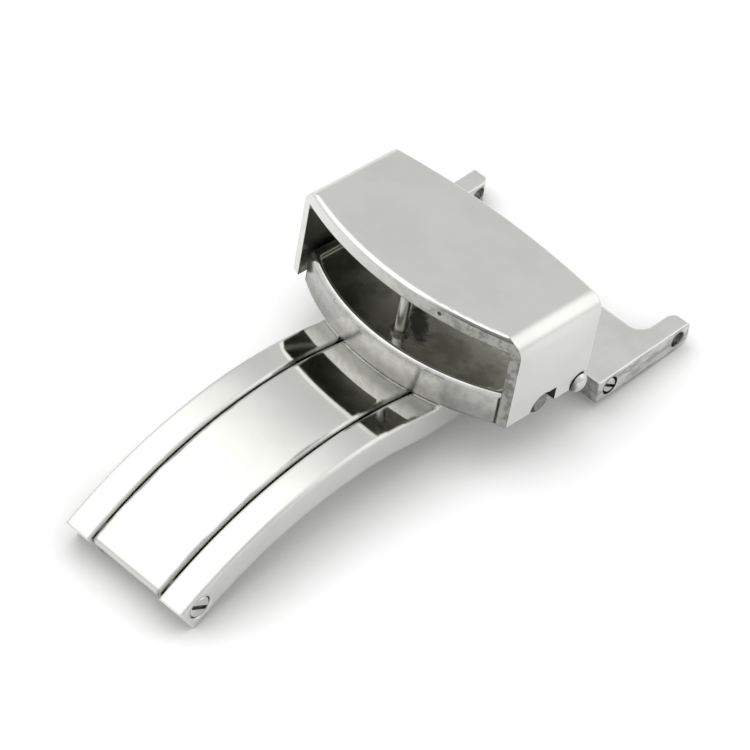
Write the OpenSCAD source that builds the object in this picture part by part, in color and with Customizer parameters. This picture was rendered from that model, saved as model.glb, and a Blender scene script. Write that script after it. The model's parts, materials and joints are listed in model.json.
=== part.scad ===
// Single-fold deployant clasp for a watch strap, shown closed.
// X runs across the strap, Y from the free hinge end to the strap fork, Z up from the table.
// Sizes are millimetres and degrees.

/* [Strap and fork] */
// Width of the strap that fits between the fork ears
strap_w = 18; // [16:0.5:22]
// Thickness of each fork ear across the strap
ear_t = 1.5; // [1.2:0.1:2]
// Thickness of the fork plate at its hinge
fork_t = 1.8; // [1.7:0.05:2.2]
// How much thicker the fork is at the ear tips
fork_swell = 0.1; // [0:0.05:0.5]
// Distance from the fork hinge to the strap bar hole
fork_reach = 7.1; // [6:0.1:9]
// Distance from the strap bar hole back to the bottom of the notch
notch_depth = 2.45; // [2:0.05:3]
// Radius of the inside corners of the notch
notch_corner_r = 1.2; // [0.8:0.1:1.6]
// Distance from the strap bar hole to the tip of each ear
ear_tip = 1.1; // [1:0.05:1.3]
// Radius of the strap bar hole in each ear
bar_hole_r = 0.64; // [0.5:0.02:0.7]
// Length of plate between the fork hinge and the root end face
fork_root = 1.3; // [1.2:0.05:1.5]
// Downward slope of the fork at rest
fork_droop = 4.5; // [2:0.5:8]

/* [Curved blades] */
// Radius of the outer face of both blades
blade_r = 29.9; // [27:0.5:33]
// Thickness of both blades
blade_t = 2.4; // [2.2:0.05:2.6]
// Angle from the top of the curve to the free end
tail_angle = 29.5; // [27:0.5:32]
// Width of the outer frame over both rails
frame_w = 11.3; // [10.6:0.1:13]
// Width of each rail
rail_w = 2.25; // [1.9:0.05:2.6]
// Gap between the centre blade and each rail
blade_gap = 0.15; // [0.15:0.05:0.35]
// Bevel along the upper edges of the blades
bevel = 0.16; // [0.08:0.02:0.24]

/* [Box] */
// Angle on the blade curve where the front of the base plate lands
seat_angle = 16.5; // [14:0.5:18]
// Slope of the box towards the fork
box_tilt = 8.5; // [6:0.5:10]
// Length of the cover over its end walls
cover_l = 20.6; // [19:0.2:24]
// Width of the cover at its end walls
cover_w = 8.1; // [7.9:0.1:9.2]
// Height of the cover from its top face to the lower edge of its walls
cover_h = 7.5; // [7.2:0.1:7.9]
// Thickness of the cover's top plate
cover_top_t = 1.15; // [0.9:0.05:1.4]
// Thickness of the cover's end walls
cover_wall = 0.75; // [0.65:0.05:0.9]
// How far the front edge of the cover bows out
front_bow = 2.1; // [1.4:0.1:2.6]
// How far the rear edge of the cover bows out
rear_bow = 0.9; // [0.6:0.1:1.2]
// Radius along the front and rear upper edges of the cover
cover_edge_r = 0.4; // [0.2:0.05:0.5]
// Outside radius between the top plate and the end walls
shoulder_r = 1.5; // [0.8:0.1:1.7]
// Clear space between the base plate ends and the cover walls
end_gap = 0.3; // [0.15:0.05:0.4]
// Thickness of the base plate
base_t = 2.35; // [2.25:0.05:2.6]
// How far the rim of the base plate lies below the cover's top face
rim_drop = 5.6; // [5.3:0.1:5.9]
// Depth of the dished floor below the rim
floor_sink = 0.4; // [0.2:0.05:0.5]
// Width of the rim round the dished floor
rim_w = 0.6; // [0.4:0.1:0.9]
// Distance from the front of the base plate to the axle
base_reach = 9.85; // [9.4:0.05:10.6]
// How far the front wall of the base plate bows out
base_bow = 2.7; // [2:0.1:3]
// Radius of the strap post
post_r = 0.48; // [0.4:0.02:0.6]
// Distance from the front of the base plate to the strap post
post_inset = 2.4; // [2.1:0.05:2.6]
// Radius of the strap post's riveted shank
shank_r = 0.28; // [0.22:0.01:0.3]
// Depth of the shank in the centre blade
shank_depth = 1.2; // [0.9:0.1:1.4]

/* [Axle and hinges] */
// Radius of the axle that carries the cover
axle_r = 0.45; // [0.4:0.01:0.48]
// Radius of the knuckles round the axle
knuckle_r = 0.92; // [0.85:0.01:0.95]
// Distance from the axle to the rear edge of the cover's end walls
axle_inset = 0.75; // [0.65:0.05:1]
// Height of the axle above the underside of the base plate
axle_lift = 0.7; // [0.65:0.05:0.8]
// Radius of the domed head at each end of the axle
dome_r = 0.78; // [0.7:0.02:0.9]
// Height that each domed head stands above its rim
dome_rise = 0.4; // [0.3:0.05:0.5]
// Distance from the axle to the fork hinge along the clasp
fork_step = 3.28; // [3.1:0.05:3.6]
// Outside radius of both hinge tubes
tube_r = 0.52; // [0.45:0.01:0.56]
// Radius of the threaded bore in both hinge tubes
thread_r = 0.3; // [0.22:0.01:0.34]
// Radius of the slotted screw heads in the fork
fork_screw_r = 0.6; // [0.58:0.01:0.74]
// Radius of the slotted screw heads at the blade hinge
blade_screw_r = 0.84; // [0.7:0.01:0.9]
// Thickness of the slotted screw heads
screw_head_t = 0.5; // [0.4:0.05:0.6]
// Clearance round the screw heads
screw_gap = 0.08; // [0.04:0.01:0.1]
// Length of the thread below each screw head
thread_l = 2.2; // [1.5:0.1:2.6]
// Distance from the free end of the blades to the blade hinge
hinge_inset = 1.4; // [1.3:0.05:1.6]
// Radial clearance of every running fit
run_gap = 0.03; // [0.02:0.005:0.05]

/* [Latch] */
// Distance of the push buttons from the middle of the cover's end walls
latch_shift = 0.42; // [0.2:0.02:0.6]
// Radius of the push button heads
button_r = 0.9; // [0.8:0.02:0.95]
// Travel of each push button
button_travel = 0.7; // [0.6:0.05:0.8]
// Radius of the notch in each end wall, round at its front and square at its rear
wall_notch_r = 1.23; // [1.15:0.01:1.3]
// Radius of the push button stems
stem_r = 0.34; // [0.3:0.01:0.36]
// How far each claw reaches under its rail
claw_reach = 0.35; // [0.3:0.05:0.45]
// Thickness of the claw's arm
claw_arm = 0.65; // [0.55:0.05:0.7]
// Width of the claw along the clasp
claw_w = 1.7; // [1.4:0.1:1.9]
// Height of the claw's tooth
tooth_h = 0.55; // [0.45:0.05:0.65]
// Thickness of the rail lip that the tooth holds
lip_t = 0.45; // [0.4:0.05:0.6]
// Radius of the spring wire
wire_r = 0.08; // [0.06:0.01:0.1]
// Turns in each button spring
spring_turns = 3.25; // [2.5:0.25:3.25]

/* [Hidden] */
$fn = 64;

// Small clearances between pieces that stand still against each other
cap_room = 0.18;
face_gap = 0.05;
seat_gap = 0.1;
cut = 0.05;

// Blades: the curve's centre lies below the table, the free end's lower edge on it
tail_y = blade_r * sin(tail_angle);
arc_z = -(blade_r - blade_t) * cos(tail_angle);
rail_in = frame_w / 2 - rail_w;
centre_half = rail_in - blade_gap;
hinge_angle = tail_angle - hinge_inset / blade_r * 180 / PI;
hinge_r = blade_r - blade_t / 2;
nose_reach = 0.85 * hinge_inset;
nose_top_r = 0.2 * blade_t;
nose_low_r = 0.45 * blade_t;
nose_angle = hinge_angle + nose_reach / hinge_r * 180 / PI;
hinge_y = -hinge_r * sin(hinge_angle);
hinge_z = arc_z + hinge_r * cos(hinge_angle);

// Box: v runs down the slope towards the fork, n runs up from the cover's top face
axle_v = cover_w / 2 - axle_inset;
base_front = axle_v - base_reach;
post_v = base_front + post_inset;
base_under = -rim_drop - base_t;
axle_n = base_under + axle_lift;
front_y = blade_r * sin(seat_angle);
front_z = arc_z + blade_r * cos(seat_angle) + seat_gap;
box_y = front_y - base_front * cos(box_tilt) - base_under * sin(box_tilt);
box_z = front_z + base_front * sin(box_tilt) - base_under * cos(box_tilt);
function box_pt(v, n) = [box_y + v * cos(box_tilt) + n * sin(box_tilt),
    box_z - v * sin(box_tilt) + n * cos(box_tilt)];
axle_pt = box_pt(axle_v, axle_n);
cover_half = cover_l / 2;
wall_in = cover_half - cover_wall;
cap_depth = 0.45 * cover_wall;
base_half = wall_in - end_gap;
floor_n = -rim_drop - floor_sink;
function bow_r(half, bow) = (half * half + bow * bow) / (2 * bow);

// Fork hinge: the ear tips rest on the table
pin_y = axle_pt[0] + fork_step;
pin_z = fork_reach * sin(fork_droop) + fork_t / 2;
fork_half = strap_w / 2 + ear_t;
frame_knuckle_r = fork_t / 2;
slot_room = 0.15;
bar_hole_n = fork_swell / 2;
slot_half = frame_w / 2 + slot_room;
tip_s = fork_reach + ear_tip;
tip_r = 0.1 * fork_t;
ear_low_r = 0.5 * fork_t;
tip_top = fork_t / 2 + fork_swell;
tip_y = pin_y + (tip_s - tip_r) * cos(fork_droop) + (tip_top - tip_r) * sin(fork_droop) + tip_r;
mid_y = (tip_y - tail_y) / 2;

// Straight run of the frame under the box
under_y = (blade_r - blade_t) * sin(seat_angle);
under_z = arc_z + (blade_r - blade_t) * cos(seat_angle);
function arc_pt(r, a) = [r * sin(a), arc_z + r * cos(a)];
run_root = arc_pt(hinge_r, seat_angle - 1.5);
run_top_a = [front_y, front_z - seat_gap];
run_top_b = [pin_y, pin_z + frame_knuckle_r];
run_low_a = [under_y, under_z];
run_low_b = [pin_y, pin_z - frame_knuckle_r];
blade_end_y = axle_pt[0] + knuckle_r;
window_end = blade_end_y + 0.35;

// Latch
latch_v = -latch_shift;
stem_n = base_under + 0.65;
notch_n = -cover_h;
notch_square = 0.92 * wall_notch_r;
tooth_out = rail_in + claw_reach;
claw_out = rail_in + 1;
claw_in = rail_in - blade_gap - claw_arm;
neck_half = claw_in - button_travel - 0.3;
function run_low_z(y) = run_low_a[1] + (run_low_b[1] - run_low_a[1])
    * (y - run_low_a[0]) / (run_low_b[0] - run_low_a[0]);
function run_top_z(y) = run_top_a[1] + (run_top_b[1] - run_top_a[1])
    * (y - run_top_a[0]) / (run_top_b[0] - run_top_a[0]);
latch_y = box_pt(latch_v, base_under)[0];
rail_gap = (box_pt(latch_v, base_under)[1] - run_top_z(latch_y)) * cos(box_tilt);
rail_n = base_under - rail_gap;
tooth_top = rail_n - lip_t - face_gap;
tooth_low = tooth_top - tooth_h;
channel_top = stem_n + 0.6;
channel_half = claw_w / 2 + 0.1;
head_in = base_half - face_gap;
head_out = wall_in + cover_wall * 0.65;
recess_in = head_in - button_travel - 0.1;
rib_half = 0.25;
spigot_in = claw_in - 0.45;
spring_r = (channel_half < 0.6 ? channel_half : 0.6) - wire_r - 0.12;
spring_in = rib_half + wire_r;
spring_out = claw_in - wire_r;

// Puts a piece drawn on the clasp's own curve over the middle of the table
module place() { translate([0, -mid_y, 0]) children(); }

// Stands a Y-Z outline up and gives it a width along X
module across(x0, x1) {
    rotate([90, 0, 90]) translate([0, 0, x0]) linear_extrude(x1 - x0) children();
}

// Places children drawn in the box's own frame: X, v, n
module in_box() { translate([0, box_y, box_z]) rotate([-box_tilt, 0, 0]) children(); }

// Places children drawn in the fork's own frame: X, distance from the hinge, height
module in_fork() { translate([0, pin_y, pin_z]) rotate([-fork_droop, 0, 0]) children(); }

// A cylinder along X from x0 to x1 about the point y, z
module rod(x0, x1, r, y = 0, z = 0) {
    translate([x0, y, z]) rotate([0, 90, 0]) cylinder(h = x1 - x0, r = r);
}

// A box from one corner to the opposite one
module block(a, b) { translate(a) cube(b - a); }

// Curved bar of a given half width, from an angle before the top of the curve to the seat
module curved_bar(half, from_angle) {
    translate([0, 0, arc_z]) rotate([90, 0, 90]) rotate([0, 0, 90 - seat_angle])
        rotate_extrude(angle = from_angle + seat_angle, $fn = 128)
            translate([blade_r - blade_t, -half]) square([blade_t, 2 * half]);
}

// Cutter for the bevel along a blade's upper edge at x, which faces dir
module edge_bevel(x, dir) {
    past = 1.5;
    reach = bevel + 2 * cut;
    translate([0, 0, arc_z]) rotate([90, 0, 90]) rotate([0, 0, 90 - seat_angle - past])
        rotate_extrude(angle = tail_angle + seat_angle + 2 * past, $fn = 128)
            polygon([[blade_r - bevel - cut, x + dir * cut], [blade_r + cut, x + dir * cut],
                [blade_r + cut, x + dir * (cut - reach)]]);
}

// Outer frame: two rails, open round the centre blade, joined ahead of the fork hinge
module outer_frame() {
    color("gainsboro") place() difference() {
        union() {
            for (s = [-1, 1])
                translate([s * (rail_in + rail_w / 2), 0, 0]) curved_bar(rail_w / 2, tail_angle);
            difference() {
                across(-frame_w / 2, frame_w / 2) {
                    polygon([run_root, run_top_a, run_top_b, run_low_b, run_low_a]);
                    translate(run_low_b + [0, frame_knuckle_r]) circle(frame_knuckle_r);
                }
                frame_window();
            }
        }
        for (s = [-1, 1]) {
            edge_bevel(s * frame_w / 2, s);
            edge_bevel(s * rail_in, -s);
        }
        rod(-frame_w, frame_w, tube_r, hinge_y, hinge_z);
        for (s = [-1, 1]) mirror([s < 0 ? 1 : 0, 0, 0]) {
            rod(frame_w / 2 - screw_head_t, frame_w, blade_screw_r + screw_gap, hinge_y, hinge_z);
            in_box() block([rail_in - cut, latch_v - claw_w / 2 - 0.25, tooth_low - 0.15],
                [tooth_out + 0.15, latch_v + claw_w / 2 + 0.25, rail_n - lip_t]);
        }
        rod(-frame_w, frame_w, tube_r + run_gap, pin_y, pin_z);
    }
}

// The window in the frame that the centre blade lies in, with a round end
module frame_window() {
    corner = 0.8;
    for (s = [-1, 1]) translate([s * (rail_in - corner), window_end - corner, -blade_t])
        cylinder(h = 4 * blade_t, r = corner);
    block([-rail_in, 0, -blade_t], [rail_in, window_end - corner, 3 * blade_t]);
    block([corner - rail_in, 0, -blade_t], [rail_in - corner, window_end, 3 * blade_t]);
}

// Threaded tube of a hinge, open at both ends
module hinge_tube(half, y, z) {
    difference() {
        rod(-half, half, tube_r, y, z);
        rod(-half - cut, half + cut, thread_r, y, z);
    }
}

// Slotted screw with its head outward on the +X side
module slotted_screw(face_x, head_r, y, z) {
    slot_half = head_r * 0.2;
    edge = 0.1;
    difference() {
        union() {
            rod(face_x - screw_head_t, face_x - edge, head_r, y, z);
            translate([face_x - edge, y, z]) rotate([0, 90, 0])
                cylinder(h = edge, r1 = head_r, r2 = head_r - edge);
            rod(face_x - screw_head_t - thread_l, face_x - screw_head_t, thread_r, y, z);
        }
        translate([face_x - screw_head_t * 0.55, y, z]) rotate([-35, 0, 0])
            block([0, -head_r - cut, -slot_half], [screw_head_t, head_r + cut, slot_half]);
    }
}

module blade_hinge_tube() {
    color("silver") place() hinge_tube(frame_w / 2 - screw_head_t, hinge_y, hinge_z);
}
module blade_screw_right() {
    color("silver") place() slotted_screw(frame_w / 2, blade_screw_r, hinge_y, hinge_z);
}
module blade_screw_left() {
    color("silver") place() mirror([1, 0, 0]) slotted_screw(frame_w / 2, blade_screw_r, hinge_y, hinge_z);
}

// Centre blade: round free end on its hinge, seat for the base plate, neck and axle knuckle
module centre_blade() {
    seat_front = base_front + base_bow * 0.4;
    end_y = axle_pt[0] + knuckle_r * 0.9;
    neck_v = latch_v - claw_w / 2 - 0.45;
    color("whitesmoke") place() difference() {
        union() {
            curved_bar(centre_half, nose_angle);
            intersection() {
                across(-centre_half, centre_half) {
                    polygon([run_root, run_top_a, box_pt(seat_front, base_under - seat_gap * 1.5),
                        box_pt(seat_front, base_under), box_pt(axle_v, base_under), axle_pt,
                        [end_y, axle_pt[1]], [end_y, run_low_z(end_y)], run_low_a]);
                    translate(axle_pt) circle(knuckle_r);
                }
                in_box() union() {
                    block([-centre_half, -2 * tail_y, -2 * tail_y], [centre_half, neck_v, tail_y]);
                    block([-neck_half, neck_v - cut, -2 * tail_y], [neck_half, 2 * tail_y, tail_y]);
                }
            }
        }
        for (s = [-1, 1]) edge_bevel(s * centre_half, s);
        nose_cutter(nose_top_r, 1);
        nose_cutter(nose_low_r, -1);
        rod(-frame_w, frame_w, tube_r + run_gap, hinge_y, hinge_z);
        rod(-frame_w, frame_w, axle_r, axle_pt[0], axle_pt[1]);
        in_box() translate([0, post_v, base_under - shank_depth]) cylinder(h = blade_t, r = shank_r);
    }
}

// Cutter that rounds the free end of the centre blade over (side 1) or under (side -1)
module nose_cutter(r, side) {
    sag = 0.03;
    low_z = side > 0 ? blade_t / 2 - r : -blade_t;
    translate([0, -hinge_r * sin(nose_angle), arc_z + hinge_r * cos(nose_angle)])
        rotate([nose_angle, 0, 0]) difference() {
            block([-frame_w, -1, low_z], [frame_w, r, low_z + blade_t / 2 + r]);
            rod(-2 * frame_w, 2 * frame_w, r, r, side * (blade_t / 2 - r) - (side > 0 ? 0 : sag));
        }
}

// Plan disc whose front edge is bowed, with a rounded upper edge
module bow_disc(half, bow, edge_v, top_n, low_n, round_r, dir) {
    r = bow_r(half, bow);
    translate([0, edge_v - dir * (r - bow), 0]) rotate_extrude($fn = 256) {
        translate([0, low_n]) square([r, top_n - round_r - low_n]);
        translate([0, low_n]) square([r - round_r, top_n - low_n]);
        translate([r - round_r, top_n - round_r]) circle(round_r, $fn = 32);
    }
}

// Outline of the end walls and top plate of the cover, X across and n up
module cover_section() {
    inner_r = 0.6;
    difference() {
        union() {
            for (s = [-1, 1]) translate([s * (cover_half - shoulder_r), -shoulder_r]) circle(shoulder_r);
            translate([-cover_half, -cover_h - 2]) square([cover_l, cover_h + 2 - shoulder_r]);
            translate([shoulder_r - cover_half, -shoulder_r - cut])
                square([cover_l - 2 * shoulder_r, shoulder_r + cut]);
        }
        for (s = [-1, 1]) translate([s * (wall_in - inner_r), -cover_top_t - inner_r]) circle(inner_r);
        translate([-wall_in, -cover_h - 3]) square([2 * wall_in, cover_h + 3 - cover_top_t - inner_r]);
        translate([inner_r - wall_in, -cover_top_t - inner_r - cut])
            square([2 * (wall_in - inner_r), inner_r + cut]);
    }
}

// Cover: bowed top plate and two end walls that turn on the axle
module cover() {
    color("gainsboro") place() in_box() difference() {
        union() {
            intersection() {
                rotate([90, 0, 0]) translate([0, 0, -cover_w]) linear_extrude(2 * cover_w) cover_section();
                bow_disc(cover_half, front_bow, -cover_w / 2, 0, -cover_h - 2, cover_edge_r, -1);
                bow_disc(cover_half, rear_bow, cover_w / 2, 0, -cover_h - 2, cover_edge_r, 1);
                block([-cover_l, -cover_w, -cover_h], [cover_l, cover_w, 1]);
            }
            for (s = [0, 1]) mirror([s, 0, 0]) rod(wall_in, cover_half, knuckle_r, axle_v, axle_n);
        }
        rod(-cover_l, cover_l, axle_r + run_gap, axle_v, axle_n);
        for (s = [0, 1]) mirror([s, 0, 0]) {
            rod(cover_half - cap_depth, cover_l, dome_r + cap_room, axle_v, axle_n);
            rod(wall_in - cut, cover_l, wall_notch_r, latch_v, notch_n);
            block([wall_in - cut, latch_v, notch_n - cut],
                [cover_l, latch_v + wall_notch_r, notch_n + notch_square]);
        }
    }
}

// Plan outline of the base plate, drawn in X and v; inset draws it smaller all round
module base_plan(inset) {
    corner = 0.7;
    half = base_half - inset;
    r = bow_r(base_half, base_bow);
    side_v = base_front + base_bow;
    intersection() {
        translate([0, base_front + r]) circle(r - inset, $fn = 256);
        union() {
            for (s = [-1, 1]) translate([s * (half - corner), side_v + corner + inset - 0.5])
                circle(corner, $fn = 32);
            translate([-half, side_v + corner + inset - 0.5]) square([2 * half, base_reach]);
            translate([corner - half, base_front - 1]) square([2 * (half - corner), base_reach]);
        }
    }
}

// Base plate: bowed tray that the strap lies on, with the latch channel under it
module base_plate() {
    rim_r = 0.3;
    color("darkgray") place() in_box() difference() {
        union() {
            intersection() {
                translate([0, 0, base_under]) linear_extrude(base_t) base_plan(0);
                bow_disc(base_half, base_bow, base_front + base_bow, -rim_drop, base_under - 1, rim_r, -1);
                block([-cover_l, -cover_w * 2, base_under], [cover_l, axle_v, 0]);
            }
            for (s = [0, 1]) mirror([s, 0, 0]) {
                rod(neck_half + 0.1, base_half, axle_lift, axle_v, axle_n);
                intersection() {
                    rod(neck_half + 0.1, base_half, floor_n - axle_n, axle_v, axle_n);
                    block([0, axle_v - cut, axle_n], [base_half, axle_v + 3, 0]);
                }
            }
        }
        translate([0, 0, floor_n]) linear_extrude(3) base_plan(rim_w);
        block([-neck_half - 0.1, axle_v - 1.4, base_under - 1], [neck_half + 0.1, axle_v + 3, axle_n + 1.1]);
        rod(-cover_l, cover_l, axle_r, axle_v, axle_n);
        translate([0, post_v, base_under - base_t]) cylinder(h = 3 * base_t, r = shank_r);
        for (s = [0, 1]) mirror([s, 0, 0]) {
            block([rib_half, latch_v - channel_half, base_under - 1],
                [claw_out + face_gap, latch_v + channel_half, channel_top]);
            rod(claw_out, cover_l, stem_r + run_gap, latch_v, stem_n);
            rod(recess_in, cover_l, button_r + run_gap * 2, latch_v, stem_n);
        }
    }
}

// Strap post: collar and peg above the floor, shank riveted through into the centre blade
module strap_post() {
    collar_t = 0.4 * post_r;
    straight_top = -cover_top_t - 1.2 * post_r;
    color("darkgray") place() in_box() translate([0, post_v, 0]) union() {
        translate([0, 0, base_under - shank_depth])
            cylinder(h = floor_n - base_under + shank_depth, r = shank_r);
        translate([0, 0, floor_n]) cylinder(h = collar_t, r = 1.5 * post_r);
        translate([0, 0, floor_n]) cylinder(h = straight_top - floor_n, r = post_r);
        translate([0, 0, straight_top]) intersection() {
            translate([0, 0, -0.75 * post_r]) sphere(r = 1.25 * post_r);
            cylinder(h = post_r * 2, r = post_r);
        }
    }
}

// Axle: plain rod through the cover walls, the base plate and the blade's knuckle
cap_in = cover_half - cap_depth + face_gap;
module box_axle() {
    color("silver") place() in_box() rod(-cap_in - 0.3, cap_in + 0.3, axle_r, axle_v, axle_n);
}

// Domed cap pressed on the end of the axle, drawn for the +X side
module axle_cap() {
    rim_t = 0.35;
    ball_r = (dome_r * dome_r + dome_rise * dome_rise) / (2 * dome_rise);
    in_box() translate([cap_in, axle_v, axle_n]) rotate([0, 90, 0]) difference() {
        union() {
            cylinder(h = rim_t, r = dome_r);
            intersection() {
                translate([0, 0, rim_t + dome_rise - ball_r]) sphere(ball_r);
                cylinder(h = 3, r = dome_r);
            }
        }
        translate([0, 0, -cut]) cylinder(h = 0.3 + cut, r = axle_r);
        translate([0, 0, -6]) cylinder(h = 6, r = 3 * dome_r);
    }
}
module axle_cap_right() { color("silver") place() axle_cap(); }
module axle_cap_left() { color("silver") place() mirror([1, 0, 0]) axle_cap(); }

// Push button for the +X side: head in the wall's notch, stem through the base plate
module button() {
    in_box() {
        rod(head_in, head_out - 0.15, button_r, latch_v, stem_n);
        translate([head_out - 0.15, latch_v, stem_n]) rotate([0, 90, 0])
            cylinder(h = 0.15, r1 = button_r, r2 = button_r - 0.15);
        rod(claw_in, head_in, stem_r, latch_v, stem_n);
        rod(spigot_in, claw_in, stem_r * 0.65, latch_v, stem_n);
    }
}
module button_right() { color("gray") place() button(); }
module button_left() { color("gray") place() mirror([1, 0, 0]) button(); }

// Claw for the +X side: block on the stem, arm down past the neck, tooth under the rail
module claw() {
    lead = tooth_h * 0.6;
    in_box() difference() {
        translate([0, latch_v + claw_w / 2, 0]) rotate([90, 0, 0]) linear_extrude(claw_w)
            polygon([[claw_in, channel_top - 0.1], [claw_out, channel_top - 0.1],
                [claw_out, base_under + 0.1], [claw_in + claw_arm, base_under + 0.1],
                [claw_in + claw_arm, tooth_top], [tooth_out, tooth_top],
                [tooth_out, tooth_low + lead], [claw_in + claw_arm, tooth_low],
                [claw_in, tooth_low]]);
        rod(claw_in - cut, claw_out + cut, stem_r, latch_v, stem_n);
    }
}
module claw_right() { color("silver") place() claw(); }
module claw_left() { color("silver") place() mirror([1, 0, 0]) claw(); }

// Button spring for the +X side: one unbroken open coil between the rib and the claw
sides = 6;
steps = 8;
coil_pitch = (spring_out - spring_in) / spring_turns;
function coil_ring(i) = let (t = i / steps, a = 360 * t)
    [for (k = [0:sides - 1]) let (b = 360 * k / sides, q = spring_r + wire_r * cos(b))
        [spring_in + coil_pitch * t + wire_r * sin(b), q * cos(a), q * sin(a)]];
coil_rings = spring_turns * steps + 1;
coil_points = [for (i = [0:coil_rings - 1]) each coil_ring(i)];
coil_sides = [for (i = [0:coil_rings - 2], k = [0:sides - 1])
    let (a = i * sides + k, b = i * sides + (k + 1) % sides)
    each [[a, b, a + sides], [b, b + sides, a + sides]]];
coil_ends = [for (k = [1:sides - 2]) each [[0, k + 1, k],
    [(coil_rings - 1) * sides, (coil_rings - 1) * sides + k, (coil_rings - 1) * sides + k + 1]]];
function ring_mid(i) = let (a = 360 * i / steps)
    [spring_in + coil_pitch * i / steps, spring_r * cos(a), spring_r * sin(a)];
echo(least_coil_gap = min([for (i = [0:coil_rings - 2 - steps], j = [i + steps - 1:coil_rings - 1])
    norm(ring_mid(i) - ring_mid(j)) - 2 * wire_r]));
module button_spring() {
    in_box() translate([0, latch_v, stem_n])
        polyhedron(points = coil_points, faces = concat(coil_sides, coil_ends));
}
module button_spring_right() { color("silver") place() button_spring(); }
module button_spring_left() { color("silver") place() mirror([1, 0, 0]) button_spring(); }

// Outline of the fork in plan: X across, distance from the hinge along
module fork_plan() {
    notch_s = fork_reach - notch_depth;
    in_half = strap_w / 2;
    plan_tip = tip_s + cut;
    tip_in_r = ear_t * 0.6;
    difference() {
        translate([-fork_half, -fork_root]) square([2 * fork_half, fork_root + plan_tip]);
        for (s = [-1, 1]) translate([s * (in_half - notch_corner_r), notch_s + notch_corner_r])
            circle(notch_corner_r, $fn = 48);
        translate([-in_half, notch_s + notch_corner_r]) square([strap_w, plan_tip]);
        translate([notch_corner_r - in_half, notch_s]) square([strap_w - 2 * notch_corner_r, plan_tip]);
        for (s = [-1, 1]) difference() {
            translate([s > 0 ? in_half - cut : -in_half - tip_in_r, plan_tip - tip_in_r])
                square([tip_in_r + cut, tip_in_r + cut]);
            translate([s * (in_half + tip_in_r), plan_tip - tip_in_r]) circle(tip_in_r, $fn = 48);
        }
        translate([-slot_half, -2 * fork_root])
            square([2 * slot_half, 2 * fork_root + frame_knuckle_r + slot_room]);
    }
}

// Cutter that rounds the ear tips at the height n, over (side 1) or under (side -1)
module tip_cutter(r, n, side) {
    low_z = side > 0 ? n - r : n - 1;
    difference() {
        block([-2 * strap_w, tip_s - r, low_z], [2 * strap_w, tip_s + 1, low_z + 1 + r]);
        rod(-3 * strap_w, 3 * strap_w, r, tip_s - r, n - side * r);
    }
}

// Fork: hinged plate with a notch for the strap and a bar hole in each ear
module fork() {
    color("gainsboro") place() in_fork() difference() {
        intersection() {
            translate([0, 0, -fork_t]) linear_extrude(2 * fork_t) fork_plan();
            across(-fork_half - 1, fork_half + 1) polygon([[-fork_root - 1, -fork_t / 2],
                [tip_s, -fork_t / 2], [tip_s, tip_top], [-fork_root - 1, fork_t / 2]]);
        }
        tip_cutter(tip_r, tip_top, 1);
        tip_cutter(ear_low_r, -fork_t / 2, -1);
        rod(-fork_half - 1, fork_half + 1, bar_hole_r, fork_reach, bar_hole_n);
        rod(-fork_half - 1, fork_half + 1, tube_r, 0, 0);
        for (s = [0, 1]) mirror([s, 0, 0])
            rod(fork_half - screw_head_t, fork_half + 1, fork_screw_r + screw_gap, 0, 0);
    }
}
module fork_hinge_tube() {
    color("silver") place() in_fork() hinge_tube(fork_half - screw_head_t, 0, 0);
}
module fork_screw_right() { color("silver") place() in_fork() slotted_screw(fork_half, fork_screw_r, 0, 0); }
module fork_screw_left() {
    color("silver") place() in_fork() mirror([1, 0, 0]) slotted_screw(fork_half, fork_screw_r, 0, 0);
}

outer_frame();
blade_hinge_tube();
blade_screw_left();
blade_screw_right();
centre_blade();
base_plate();
strap_post();
box_axle();
axle_cap_left();
axle_cap_right();
cover();
button_left();
button_right();
claw_left();
claw_right();
button_spring_left();
button_spring_right();
fork();
fork_hinge_tube();
fork_screw_left();
fork_screw_right();
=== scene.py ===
# A deployant clasp in polished steel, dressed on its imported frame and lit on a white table.
import bpy
import json
import math
from mathutils import Matrix, Vector


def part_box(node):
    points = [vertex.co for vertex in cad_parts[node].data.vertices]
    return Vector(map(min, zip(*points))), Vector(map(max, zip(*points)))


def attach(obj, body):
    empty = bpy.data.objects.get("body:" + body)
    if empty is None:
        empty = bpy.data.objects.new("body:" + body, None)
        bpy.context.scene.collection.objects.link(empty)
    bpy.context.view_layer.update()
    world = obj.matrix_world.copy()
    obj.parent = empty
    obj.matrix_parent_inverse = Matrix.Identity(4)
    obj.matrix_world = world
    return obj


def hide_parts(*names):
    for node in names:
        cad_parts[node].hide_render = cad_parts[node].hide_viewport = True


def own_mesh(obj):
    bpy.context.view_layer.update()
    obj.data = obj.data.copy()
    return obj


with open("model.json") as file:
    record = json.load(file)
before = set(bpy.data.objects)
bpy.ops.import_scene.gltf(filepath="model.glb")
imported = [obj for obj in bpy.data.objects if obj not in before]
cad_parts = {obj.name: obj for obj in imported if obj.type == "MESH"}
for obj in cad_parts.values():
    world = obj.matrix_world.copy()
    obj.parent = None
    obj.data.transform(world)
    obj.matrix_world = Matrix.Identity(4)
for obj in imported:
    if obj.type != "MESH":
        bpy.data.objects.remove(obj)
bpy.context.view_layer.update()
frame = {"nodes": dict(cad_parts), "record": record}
nodes = frame["nodes"]
millimetre = 0.001
plainWhite = (1.0, 1.0, 1.0, 1.0)
noiseMiddle = 0.5
print("frame loaded:", len(nodes), "nodes")


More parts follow.
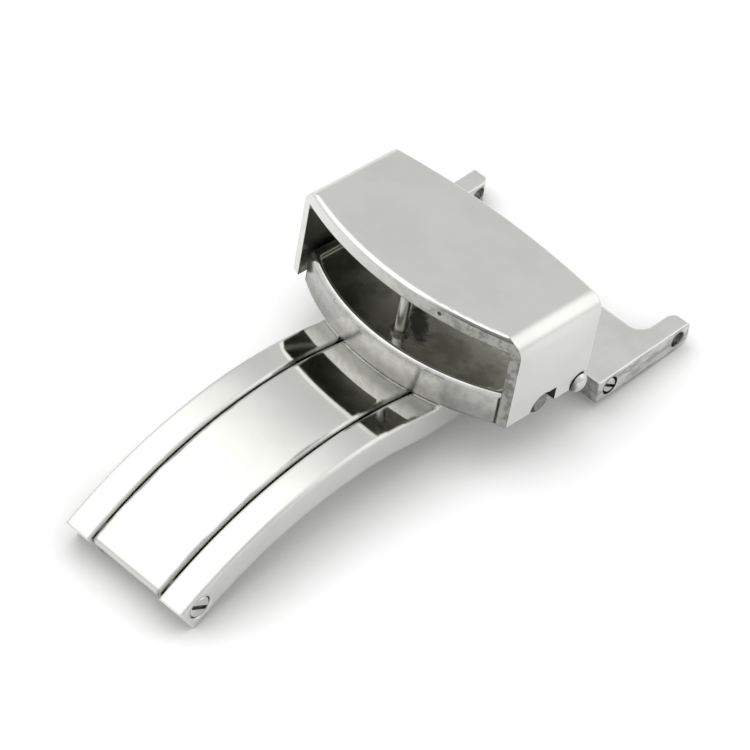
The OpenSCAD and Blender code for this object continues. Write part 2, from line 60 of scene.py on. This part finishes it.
# One shader socket. Sums, differences, products and powers of signals add their Math nodes.
class Signal:
    def __init__(self, finish, socket):
        self.finish = finish
        self.socket = socket

    def maths(self, operation, a, b=0.0):
        return self.finish.node("ShaderNodeMath", {"operation": operation}, {0: a, 1: b})["Value"]

    def __add__(self, other):
        return self.maths("ADD", self, other)

    def __radd__(self, other):
        return self.maths("ADD", other, self)

    def __sub__(self, other):
        return self.maths("SUBTRACT", self, other)

    def __rsub__(self, other):
        return self.maths("SUBTRACT", other, self)

    def __mul__(self, other):
        return self.maths("MULTIPLY", self, other)

    def __rmul__(self, other):
        return self.maths("MULTIPLY", other, self)

    def __truediv__(self, other):
        return self.maths("DIVIDE", self, other)

    def __rtruediv__(self, other):
        return self.maths("DIVIDE", other, self)

    def __pow__(self, other):
        return self.maths("POWER", self, other)

    def __rpow__(self, other):
        return self.maths("POWER", other, self)

    def size(self):
        return self.maths("ABSOLUTE", self)

    def atLeast(self, other):
        return self.maths("MAXIMUM", self, other)

    # 0 below low, 1 above high, with a soft step between
    def step(self, low, high):
        return self.finish.node("ShaderNodeMapRange", {"interpolation_type": "SMOOTHSTEP"},
                                {"Value": self, "From Min": low, "From Max": high})["Result"]

    # 0 up to a limit and 1 from a little past it
    def above(self, limit, soft):
        return self.step(limit, limit + soft)

    # 1 up to a limit and 0 from a little past it
    def below(self, limit, soft):
        return 1.0 - self.above(limit, soft)


# The distance that two signals at right angles give together
def spread(a, b):
    return (a * a + b * b) ** 0.5


# The outputs of one node, by name or place
class Made:
    def __init__(self, finish, node):
        self.finish = finish
        self.node = node

    def __getitem__(self, name):
        return Signal(self.finish, self.node.outputs[name])


# A node tree being written: a material's, or the world's
class Finish:
    def __init__(self, owner):
        owner.use_nodes = True
        self.owner = owner
        self.tree = owner.node_tree
        self.tree.nodes.clear()

    # Adds a node: its settings first, then the values or links of its sockets
    def node(self, kind, settings=None, sockets=None):
        made = self.tree.nodes.new(kind)
        for name, value in (settings or {}).items():
            setattr(made, name, value)
        for name, value in (sockets or {}).items():
            if isinstance(value, Signal):
                self.tree.links.new(value.socket, made.inputs[name])
            else:
                made.inputs[name].default_value = value
        return Made(self, made)

    def noise(self, vector, scale, detail, roughness):
        return self.node("ShaderNodeTexNoise", {}, {"Vector": vector, "Scale": scale, "Detail": detail,
                                                    "Roughness": roughness})["Fac"]

    # A noise with its own scale along each axis
    def streaks(self, vector, scales, detail, roughness):
        stretched = self.node("ShaderNodeMapping", {}, {"Vector": vector, "Scale": scales})["Vector"]
        return self.noise(stretched, 1.0, detail, roughness)

    # How far one vector runs along another; the second may be plain numbers
    def dot(self, vector, way):
        return self.node("ShaderNodeVectorMath", {"operation": "DOT_PRODUCT"}, {0: vector, 1: way})["Value"]

    # A colour between two others; a colour Mix node has its colours in sockets 6 and 7 and its result in 2
    def between(self, factor, a, b):
        return self.node("ShaderNodeMix", {"data_type": "RGBA"}, {0: factor, 6: a, 7: b})[2]


# Where the box sits: its slope, and its landmarks read from the frame
mounts = {mount["name"]: mount for mount in frame["record"]["mounts"]}
hinges = {joint["name"]: joint for joint in frame["record"]["behaviour"]["joints"]}
boxUp = Vector(mounts["strap_post"]["axis"])
boxDown = Vector((0.0, boxUp.z, -boxUp.y))
postMiddle = Vector(mounts["strap_post"]["pos_m"])
axlePoint = Vector(hinges["cover_hinge"]["pos_m"])
forkPoint = Vector(hinges["fork_hinge"]["pos_m"])
barPoint = Vector(mounts["strap_bar"]["pos_m"])
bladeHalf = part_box("centre_blade")[1].x
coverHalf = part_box("cover")[1].x
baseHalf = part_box("base_plate")[1].x
buttonLow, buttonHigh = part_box("button_right")
buttonMiddle = (buttonLow + buttonHigh) / 2


# Places and directions on a piece, as signals in metres, while the clasp is closed
class Spot:
    def __init__(self, finish):
        self.finish = finish
        coords = finish.node("ShaderNodeTexCoord")
        self.place = coords["Object"]
        self.facing = coords["Normal"]
        self.right = finish.node("ShaderNodeSeparateXYZ", {}, {0: self.place})["X"]
        self.across = self.right.size()
        self.height = self.up(postMiddle)
        self.sideways = finish.node("ShaderNodeSeparateXYZ", {}, {0: self.facing})["X"].size()
        self.forward = finish.dot(self.facing, tuple(-boxDown))

    # 0 at the cover's left end and 1 at its right end
    def toRight(self):
        return self.right.step(-coverHalf, coverHalf)

    # Distances from a point, up from the box and down its slope
    def up(self, point):
        return self.finish.dot(self.place, tuple(boxUp)) - point.dot(boxUp)

    def down(self, point):
        return self.finish.dot(self.place, tuple(boxDown)) - point.dot(boxDown)

    # Distance from a line along X through a point
    def reach(self, point):
        return spread(self.up(point), self.down(point))

    # A noise around 0 that makes an edge ragged; raggedNoise is its scale, detail and roughness
    def ragged(self, look):
        return (self.finish.noise(self.place, *look["raggedNoise"]) - noiseMiddle) * look["ragged"]


# The dictionaries below give lengths in millimetres and, in pairs, the values between which a mask
# comes to show. This turns lengths into metres.
def metres(look, *names):
    return [look[name] * millimetre for name in names]


# What all the steel shares: each noise's detail and roughness, and where it comes to show
steelBasics = {
    "smudgeNoise": (3.0, 0.6), "smudgeShows": (0.35, 0.75), "smudgeRoughens": (0.3, 0.8),
    "grainNoise": (3.0, 0.6), "waveNoise": (0.0, 0.5), "pitNoise": (1.0, 0.5), "pitSoft": 0.03,
    "stainNoise": (4.0, 0.65), "stainShows": (0.42, 0.62), "cloudNoise": (4.0, 0.6),
    "cloudShows": (0.4, 0.65), "speckNoise": (1.0, 0.5), "speckShows": (0.7, 0.78),
    "edgeShows": (0.01, 0.2), "edgeSamples": 6, "leastRough": 0.02,
}


# Steel: a base colour, hairlines along one way, slow waves, smudges, small pits and bright edges, which are
# partly wear and partly a painted highlight.
# Three masks can be given: where it is dull and darkened by painted shade, where it is only ground and
# carries a painted reflection that runs from its left end to its right, and where it lies in deep painted
# shade.
# Heights are in millimetres, and a lean is a height that rolls an edge over.
def makeSteel(name, look, dullAndShaded=None, groundAndReflection=None, shade=None, lean=None):
    finish = Finish(bpy.data.materials.new(name))
    spot = Spot(finish)
    smudge = finish.noise(spot.place, look["smudgeScale"], *steelBasics["smudgeNoise"])
    grain = finish.streaks(spot.place, look["grain"], *steelBasics["grainNoise"])
    wave = finish.noise(spot.place, look["waveScale"], *steelBasics["waveNoise"])
    pits = finish.noise(spot.place, look["pitScale"], *steelBasics["pitNoise"])
    pits = pits.above(look["pitLevel"], steelBasics["pitSoft"])
    rounded = finish.node("ShaderNodeBevel", {"samples": steelBasics["edgeSamples"]},
                          {"Radius": look["edgeRound"] * millimetre})["Normal"]
    flat = finish.node("ShaderNodeNewGeometry")["Normal"]
    # Bright edges: partly wear and partly a painted highlight, where the rounded normal turns from the flat
    # one
    edge = (1.0 - finish.dot(rounded, flat)).step(*steelBasics["edgeShows"])
    tint = finish.between(edge * look["wear"], look["colour"], look["wornColour"])
    smudged = smudge.step(*steelBasics["smudgeShows"]) * look["smudge"]
    tint = finish.between(smudged, tint, look["smudgeColour"])
    tint = finish.between(pits * look["pits"], tint, look["dullColour"])
    rough = look["roughness"] + smudge.step(*steelBasics["smudgeRoughens"]) * look["smudgeRough"]
    rough = rough + (grain - noiseMiddle) * look["grainRough"]
    height = grain * look["grainDepth"] - pits * look["pitDepth"] + wave * look["waveDepth"]
    if groundAndReflection:
        mask = groundAndReflection(spot)
        stain = finish.streaks(spot.place, look["stain"], *steelBasics["stainNoise"])
        # Painted reflection on the ground faces: their colour runs from one value at the left end to another
        # at the right end
        groundReflectionTint = finish.between(spot.toRight(), look["groundColour"], look["groundRight"])
        least = look["groundLeast"]
        stained = least + (1.0 - least) * stain.step(*steelBasics["stainShows"])
        tint = finish.between(mask * stained, tint, groundReflectionTint)
        # Painted shade: a dark line on the ground faces' edges over the right half
        rightEdgeShade = mask * edge * spot.right.step(0.0, coverHalf)
        tint = finish.between(rightEdgeShade * look["groundEdge"], tint, look["shadeColour"])
        rough = rough + mask * look["groundRough"]
        height = height + mask * stain * look["groundDepth"]
    if dullAndShaded:
        mask = dullAndShaded(spot)
        specks = finish.noise(spot.place, look["speckScale"], *steelBasics["speckNoise"])
        clouds = finish.noise(spot.place, look["cloudScale"], *steelBasics["cloudNoise"])
        clouded = clouds.step(*steelBasics["cloudShows"]) * look["clouds"]
        specked = specks.step(*steelBasics["speckShows"]) * look["specks"]
        # Painted shade in the dull places, its tone running from the left end to the right, with random
        # darker clouds
        dullShadeTint = finish.between(spot.toRight(), look["dullColour"], look["dullRight"])
        dullShadeTint = finish.between(clouded, dullShadeTint, look["shadeColour"])
        tint = finish.between(mask, tint, finish.between(specked, dullShadeTint, look["colour"]))
        rough = rough + mask * look["dullRough"]
    if shade:
        mask = shade(spot)
        tint = finish.between(mask, tint, look["shadeColour"])
        rough = rough + mask * look["shadeRough"]
    if lean:
        height = height + lean(spot)
    bump = finish.node("ShaderNodeBump", {}, {"Strength": 1.0, "Distance": millimetre, "Height": height,
                                              "Normal": rounded})["Normal"]
    shader = finish.node("ShaderNodeBsdfPrincipled", {},
                         {"Base Color": tint, "Metallic": 1.0,
                          "Roughness": rough.atLeast(steelBasics["leastRough"]), "Normal": bump})
    finish.node("ShaderNodeOutputMaterial", {}, {"Surface": shader["BSDF"]})
    return finish.owner


def dress(material, *names):
    for name in names:
        piece = nodes[name]
        piece.data.materials.clear()
        piece.data.materials.append(material)


# Frame: mirror polish with hairlines along the clasp. The other pieces' looks start from this one.
polishLook = {
    "colour": (0.72, 0.722, 0.69, 1.0), "wornColour": (0.84, 0.842, 0.81, 1.0), "wear": 0.5,
    "smudgeColour": (0.66, 0.662, 0.63, 1.0), "smudgeScale": 260.0, "smudge": 0.6, "smudgeRough": 0.03,
    "roughness": 0.05, "grain": (2600.0, 90.0, 2600.0), "grainRough": 0.02, "grainDepth": 0.0006,
    "waveScale": 240.0, "waveDepth": 0.03, "edgeRound": 0.35,
    "pitScale": 900.0, "pitLevel": 0.78, "pits": 0.0, "pitDepth": 0.0,
    "groundColour": (0.48, 0.48, 0.465, 1.0), "groundRight": (0.48, 0.48, 0.465, 1.0),
    "groundLeast": 0.35, "groundEdge": 0.0, "groundRough": 0.12, "groundDepth": 0.004,
    "stain": (900.0, 380.0, 1400.0),
    "dullColour": (0.19, 0.19, 0.165, 1.0), "dullRight": (0.31, 0.31, 0.275, 1.0), "dullRough": 0.12,
    "specks": 0.5, "speckScale": 3600.0, "clouds": 0.35, "cloudScale": 520.0,
    "shadeColour": (0.03, 0.03, 0.025, 1.0), "shadeRough": 0.4,
}
dress(makeSteel("polishedSteel", polishLook), "outer_frame")

# Centre blade: the same, with painted shade in ragged dark lines along its long edges, beside the gaps
bladeEdge = {"wide": 0.32, "ragged": 0.9, "raggedNoise": (300.0, 4.0, 0.6), "side": (0.5, 0.9), "shade": 0.7}


def bladeEdgeShade(spot):
    wide = bladeEdge["wide"] * millimetre
    line = (spot.across + spot.ragged(bladeEdge) * millimetre).above(bladeHalf - wide, wide)
    return line * (1.0 - spot.sideways.step(*bladeEdge["side"])) * bladeEdge["shade"]


dress(makeSteel("bladeSteel", polishLook, shade=bladeEdgeShade), "centre_blade")

# Fork: a brighter polish with ground outer faces and bright edges, partly a painted highlight; painted shade,
# black round its screws, dark in the strap bar's holes and on its front end faces
forkLook = dict(polishLook, colour=(0.79, 0.792, 0.76, 1.0), wear=0.8, edgeRound=0.28, pits=0.4,
                pitDepth=0.004, groundColour=(0.41, 0.41, 0.39, 1.0), groundRight=(0.41, 0.41, 0.39, 1.0),
                groundLeast=0.25, stain=(1300.0, 600.0, 1800.0))
forkFaces = {"side": (0.8, 0.95), "front": (0.85, 0.95), "frontShade": 0.3}
forkRing = {"radius": 0.72, "depth": 0.6, "hole": 0.66, "holeShade": 0.5, "soft": 0.04}


def forkGroundAndShade(spot):
    return spot.sideways.step(*forkFaces["side"]).atLeast(spot.forward.step(*forkFaces["front"]))


# Painted shade round the screws, in the strap bar's holes and on the front end faces
def forkHollowShade(spot):
    radius, depth, hole, soft = metres(forkRing, "radius", "depth", "hole", "soft")
    ring = spot.reach(forkPoint).below(radius, soft) * spot.across.above(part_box("fork")[1].x - depth, soft)
    barHole = spot.reach(barPoint).below(hole, soft) * forkRing["holeShade"]
    return ring.atLeast(barHole).atLeast(spot.forward.step(*forkFaces["front"]) * forkFaces["frontShade"])


dress(makeSteel("forkSteel", forkLook, groundAndReflection=forkGroundAndShade, shade=forkHollowShade), "fork")

# Cover: satin top; dull inside, darkened there by painted shade; ground cut faces in front with a painted
# reflection, light at the left and dark at the right; painted shade, black, in its notches and round the
# domed caps
coverLook = dict(polishLook, colour=(0.755, 0.757, 0.725, 1.0), roughness=0.21, grain=(90.0, 1800.0, 1800.0),
                 smudgeScale=180.0, edgeRound=0.1, groundColour=(0.84, 0.84, 0.81, 1.0),
                 groundRight=(0.24, 0.24, 0.22, 1.0), groundLeast=0.6, groundEdge=0.8,
                 stain=(1700.0, 1700.0, 1700.0))
# Its heights are from the middle of the strap post
coverCuts = {
    "wall": 0.75, "ceiling": 2.64, "cap": 0.98, "recess": 0.12, "notch": 1.75, "foot": -3.70, "soft": 0.05,
    "shade": 0.85, "front": (0.75, 0.92), "side": (0.3, 0.6),
}
# Painted shade: a dark line along the right half of the front edge, where its highlight fades: where it comes
# to show, in shares of half the cover's width, and the lowest and highest slope that it takes
coverEdgeShade = {"right": (0.1, 0.6), "low": (0.5, 0.62), "high": (0.86, 0.95), "shade": 0.75}
# One pit in the front face, placed from the middle of the strap post
coverPit = {"right": 4.19, "height": 3.15, "radius": 0.13, "soft": 0.06}


def coverInside(spot):
    wall, ceiling, soft = metres(coverCuts, "wall", "ceiling", "soft")
    return spot.across.below(coverHalf - wall, soft) * spot.height.below(ceiling, soft)


def coverFront(spot):
    return spot.forward.step(*coverCuts["front"])


# Painted shade round the domed caps
def capSeatShade(spot):
    cap, recess, soft = metres(coverCuts, "cap", "recess", "soft")
    return spot.reach(axlePoint).below(cap, soft) * spot.across.below(coverHalf - recess, soft)


# Painted shade inside the button notches
def notchShade(spot):
    notch, foot, soft = metres(coverCuts, "notch", "foot", "soft")
    inside = spot.reach(buttonMiddle).below(notch, soft) * (1.0 - spot.sideways.step(*coverCuts["side"]))
    return inside * spot.height.above(foot, soft)


def frontPit(spot):
    right, height, radius, soft = metres(coverPit, "right", "height", "radius", "soft")
    return spread(spot.right - right, spot.height - height).below(radius, soft) * coverFront(spot)


def frontEdgeShade(spot):
    slope = spot.forward.step(*coverEdgeShade["low"]) * (1.0 - spot.forward.step(*coverEdgeShade["high"]))
    start, end = (share * coverHalf for share in coverEdgeShade["right"])
    return slope * spot.right.step(start, end) * coverEdgeShade["shade"]


def coverShades(spot):
    hollows = capSeatShade(spot).atLeast(notchShade(spot)).atLeast(frontPit(spot))
    return (hollows * coverCuts["shade"]).atLeast(frontEdgeShade(spot))


dress(makeSteel("coverSteel", coverLook, coverInside, coverFront, coverShades), "cover")

# Base plate: bright rim, partly a painted highlight; ground front wall with a painted reflection, darker at
# the right; dull floor darkened by painted shade
trayLook = dict(polishLook, wornColour=(0.97, 0.97, 0.96, 1.0), wear=1.0, roughness=0.10,
                smudgeColour=(0.6, 0.6, 0.575, 1.0), smudgeScale=1500.0, smudge=0.8, edgeRound=0.25,
                groundColour=(0.5, 0.5, 0.475, 1.0), groundRight=(0.42, 0.42, 0.395, 1.0),
                groundLeast=0.75, groundDepth=0.002, stain=(1500.0, 1500.0, 1500.0),
                dullColour=(0.34, 0.34, 0.3, 1.0), dullRight=(0.76, 0.76, 0.69, 1.0))
# The tray's bowed front, the post's distance behind it, and heights from the middle of the strap post
trayCuts = {
    "bow": 17.2, "post": 2.4, "rim": 0.45, "roll": 0.85, "floor": -2.4, "soft": 0.05, "front": (0.4, 0.8),
}
# Its shades: at each end of the front wall, low on that wall, and in a line along the floor's front edge
trayDark = {
    "gap": 0.2, "gapTop": -1.9, "gapFront": (0.3, 0.6), "gapShade": 0.85,
    "low": -3.7, "lowTop": -2.4, "lowShade": 0.32, "line": 0.3, "lineShade": 0.75,
}
# The painted dark reflection beside the post: its middle from the post, its half lengths and its turn on the
# floor
trayReflectionPatch = {
    "right": 0.2, "down": 1.6, "long": 2.7, "wide": 0.95, "turn": -44.6, "fade": (0.45, 1.1), "shade": 0.88,
    "ragged": 1.1, "raggedNoise": (1500.0, 3.0, 0.6),
}


# How far a point lies beyond the inner edge of the bright rim along the bowed front
def pastRim(spot):
    bow, post, rim = metres(trayCuts, "bow", "post", "rim")
    behind = spot.down(postMiddle) - (bow - post)
    return spread(spot.across, behind) - (bow - rim)


def trayFloor(spot):
    floor, soft = metres(trayCuts, "floor", "soft")
    return pastRim(spot).below(0.0, soft) * spot.height.above(floor - soft, soft)


def trayFront(spot):
    return spot.forward.step(*trayCuts["front"])


def trayRoll(spot):
    return pastRim(spot).atLeast(0.0) * (-trayCuts["roll"] / millimetre)


# Painted dark reflection on the floor beside the post
def trayDarkReflection(spot):
    right, down, long, wide = metres(trayReflectionPatch, "right", "down", "long", "wide")
    turn = math.radians(trayReflectionPatch["turn"])
    aside = spot.right - right
    behind = spot.down(postMiddle) - down
    along = (aside * math.cos(turn) + behind * math.sin(turn)) / long
    over = (behind * math.cos(turn) - aside * math.sin(turn)) / wide
    far = spread(along, over) + spot.ragged(trayReflectionPatch)
    return (1.0 - far.step(*trayReflectionPatch["fade"])) * trayReflectionPatch["shade"]


def trayShades(spot):
    soft = trayCuts["soft"] * millimetre
    gap, gapTop, low, lowTop, line = metres(trayDark, "gap", "gapTop", "low", "lowTop", "line")
    ends = spot.across.above(baseHalf - gap, soft) * spot.height.below(gapTop - soft, soft)
    ends = ends * spot.forward.step(*trayDark["gapFront"]) * trayDark["gapShade"]
    frontEdge = pastRim(spot).above(-line, line) * trayDark["lineShade"]
    lowWall = trayFront(spot) * (1.0 - spot.height.step(low, lowTop)) * trayDark["lowShade"]
    return ends.atLeast(trayFloor(spot) * frontEdge.atLeast(trayDarkReflection(spot))).atLeast(lowWall)


dress(makeSteel("traySteel", trayLook, trayFloor, trayFront, trayShades, trayRoll), "base_plate")

# Strap post: duller than the tray, its foot darkened by painted shade
postLook = dict(polishLook, colour=(0.56, 0.56, 0.535, 1.0), roughness=0.25, edgeRound=0.05,
                dullColour=(0.24, 0.24, 0.22, 1.0), dullRight=(0.24, 0.24, 0.22, 1.0))
postFoot = {"top": -2.0, "soft": 0.05}


# Painted shade at the post's foot
def postFootShade(spot):
    top, soft = metres(postFoot, "top", "soft")
    return spot.height.below(top, soft)


dress(makeSteel("postSteel", postLook, postFootShade), "strap_post")

# Caps: bright domes, with a painted dark reflection on the side that faces the notch
capLook = dict(polishLook, colour=(0.66, 0.66, 0.63, 1.0), roughness=0.07, smudgeScale=900.0, edgeRound=0.09)
capDark = {"side": (0.45, 0.75), "shade": 0.8}


# Painted dark reflection on the side facing the notch
def capDarkReflection(spot):
    return spot.forward.step(*capDark["side"]) * capDark["shade"]


dress(makeSteel("capSteel", capLook, shade=capDarkReflection), "axle_cap_left", "axle_cap_right")

# Hinge tubes: turned, with fine rings round them
turnedLook = dict(polishLook, roughness=0.16, colour=(0.6, 0.6, 0.575, 1.0), grain=(2500.0, 400.0, 400.0),
                  grainDepth=0.002, smudgeScale=1500.0, edgeRound=0.05)
dress(makeSteel("turnedSteel", turnedLook), "blade_hinge_tube", "fork_hinge_tube")

# Box axle: darker, as it lies in the box's shade
axleLook = dict(turnedLook, colour=(0.3, 0.3, 0.285, 1.0), wornColour=(0.4, 0.4, 0.38, 1.0))
dress(makeSteel("axleSteel", axleLook), "box_axle")

# Slotted screws: turned heads, their slots black with painted shade
screwSlot = {"depth": 0.1, "soft": 0.05, "shade": 0.75}


def dressScrews(kind):
    depth, soft = metres(screwSlot, "depth", "soft")
    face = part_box(kind + "_right")[1].x - depth

    # Painted shade in the slot
    def slot(spot):
        return spot.across.below(face - soft, soft) * screwSlot["shade"]

    dress(makeSteel(kind + "Steel", turnedLook, shade=slot), kind + "_left", kind + "_right")


dressScrews("blade_screw")
dressScrews("fork_screw")

# Claws and springs: fine blasted grey
blastLook = dict(polishLook, roughness=0.34, colour=(0.29, 0.29, 0.278, 1.0), grain=(2500.0, 2500.0, 2500.0),
                 grainDepth=0.006, smudgeColour=(0.13, 0.13, 0.12, 1.0), smudgeScale=1900.0, smudge=0.9,
                 edgeRound=0.09)
dress(makeSteel("blastedSteel", blastLook), "claw_left", "claw_right", "button_spring_left",
      "button_spring_right")

# Buttons: the same, with the notch's shade round their front
buttonShade = {"back": 0.26, "down": 0.06, "radius": 0.74, "soft": 0.06, "shade": 0.65}


def buttonFront(spot):
    back, down, radius, soft = metres(buttonShade, "back", "down", "radius", "soft")
    return spot.reach(buttonMiddle + boxDown * back - boxUp * down).above(radius, soft) * buttonShade["shade"]


dress(makeSteel("buttonSteel", blastLook, shade=buttonFront), "button_left", "button_right")
print("materials ready")


# A button's coil spring, copied from its part and carried with the blade
def makeSpring(side):
    node = nodes["button_spring_" + side]
    press = hinges["button_" + side + "_press"]
    ribEnd = press["deforming_nodes"][0]["fixed_end_x_m"]
    low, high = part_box(node.name)
    length = max(abs(low.x - ribEnd), abs(high.x - ribEnd))
    spring = bpy.data.objects.new(side + "ButtonSpring", node.data.copy())
    spring.matrix_world = node.matrix_world.copy()
    bpy.context.scene.collection.objects.link(spring)
    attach(spring, "blade")
    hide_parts(node.name)
    1.0 - press["range_m"][1] / length
    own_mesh(spring)


makeSpring("left")
makeSpring("right")
print("springs ready")

# The table: white to the camera and in the steel, with the clasp's own shadow and a painted contact shadow
# that darkens it by occlusion near the clasp; in metres
tableLook = {
    "size": 3.0, "drop": 0.00002, "colour": (0.97, 0.97, 0.97, 1.0), "mirrored": (0.92, 0.92, 0.92, 1.0),
    "nearColour": (0.22, 0.22, 0.213, 1.0), "nearDistance": 0.0055, "nearSamples": 8, "lift": 0.13,
}


def makeTable(look):
    half = look["size"] / 2
    corners = [(-half, -half), (half, -half), (half, half), (-half, half)]
    mesh = bpy.data.meshes.new("table")
    mesh.from_pydata([(x, y, -look["drop"]) for x, y in corners], [], [(0, 1, 2, 3)])
    table = bpy.data.objects.new("table", mesh)
    bpy.context.scene.collection.objects.link(table)
    finish = Finish(bpy.data.materials.new("whiteTable"))
    path = finish.node("ShaderNodeLightPath")
    # Painted contact shadow: the colour darkens where the clasp is close
    clear = finish.node("ShaderNodeAmbientOcclusion", {"samples": look["nearSamples"]},
                        {"Distance": look["nearDistance"]})["AO"]
    tint = finish.between(clear, look["nearColour"], look["colour"])
    tint = finish.between(path["Is Glossy Ray"], tint, look["mirrored"])
    paper = finish.node("ShaderNodeBsdfDiffuse", {}, {"Color": tint})
    glow = finish.node("ShaderNodeEmission", {},
                       {"Color": plainWhite, "Strength": path["Is Camera Ray"] * look["lift"]})
    both = finish.node("ShaderNodeAddShader", {}, {0: paper["BSDF"], 1: glow["Emission"]})
    finish.node("ShaderNodeOutputMaterial", {}, {"Surface": both["Shader"]})
    mesh.materials.append(finish.owner)


makeTable(tableLook)
print("table ready")

# A light tent: even grey-white, with one broad soft lamp overhead and one behind. A lamp's range is
# the cosine of the angle from its middle, where it begins and where it is full.
tentLook = {
    "level": 0.74,
    "overheadWay": (-0.42, -0.25, 0.87), "overheadRange": (0.58, 1.0), "overhead": 0.84,
    "backWay": (0.45, 0.72, 0.52), "backRange": (0.76, 1.0), "back": 0.6,
}


def makeTent(look):
    world = bpy.data.worlds.new("lightTent")
    bpy.context.scene.world = world
    finish = Finish(world)
    way = finish.node("ShaderNodeTexCoord")["Generated"]
    level = look["level"]
    for lamp in ("overhead", "back"):
        toward = finish.dot(way, tuple(Vector(look[lamp + "Way"]).normalized()))
        level = level + toward.step(*look[lamp + "Range"]) * look[lamp]
    seen = finish.node("ShaderNodeLightPath")["Is Camera Ray"]
    strength = seen + (1.0 - seen) * level
    tent = finish.node("ShaderNodeBackground", {}, {"Color": plainWhite, "Strength": strength})
    finish.node("ShaderNodeOutputWorld", {}, {"Surface": tent["Background"]})


makeTent(tentLook)

# The camera, at the photograph's viewing angle: metres, degrees and millimetres of lens
cameraLook = {
    "place": (0.130534, -0.141358, 0.214059), "azimuth": 42.457, "elevation": 47.422, "roll": 3.4245,
    "lens": 199.55, "sensor": 36.0, "clip": (0.01, 20.0),
}


def makeCamera(look):
    azimuth, elevation, roll = (math.radians(look[name]) for name in ("azimuth", "elevation", "roll"))
    back = Vector((math.sin(azimuth) * math.cos(elevation), -math.cos(azimuth) * math.cos(elevation),
                   math.sin(elevation)))
    level = Vector((math.cos(azimuth), math.sin(azimuth), 0.0))
    upright = back.cross(level)
    right = level * math.cos(roll) + upright * math.sin(roll)
    up = upright * math.cos(roll) - level * math.sin(roll)
    turn = Matrix((right, up, back)).transposed().to_4x4()
    data = bpy.data.cameras.new("view")
    data.lens = look["lens"]
    data.sensor_width = look["sensor"]
    data.clip_start, data.clip_end = look["clip"]
    camera = bpy.data.objects.new("view", data)
    camera.matrix_world = Matrix.Translation(look["place"]) @ turn
    bpy.context.scene.collection.objects.link(camera)
    bpy.context.scene.camera = camera


makeCamera(cameraLook)
bpy.context.scene.view_settings.view_transform = "Standard"
print("camera and light ready")
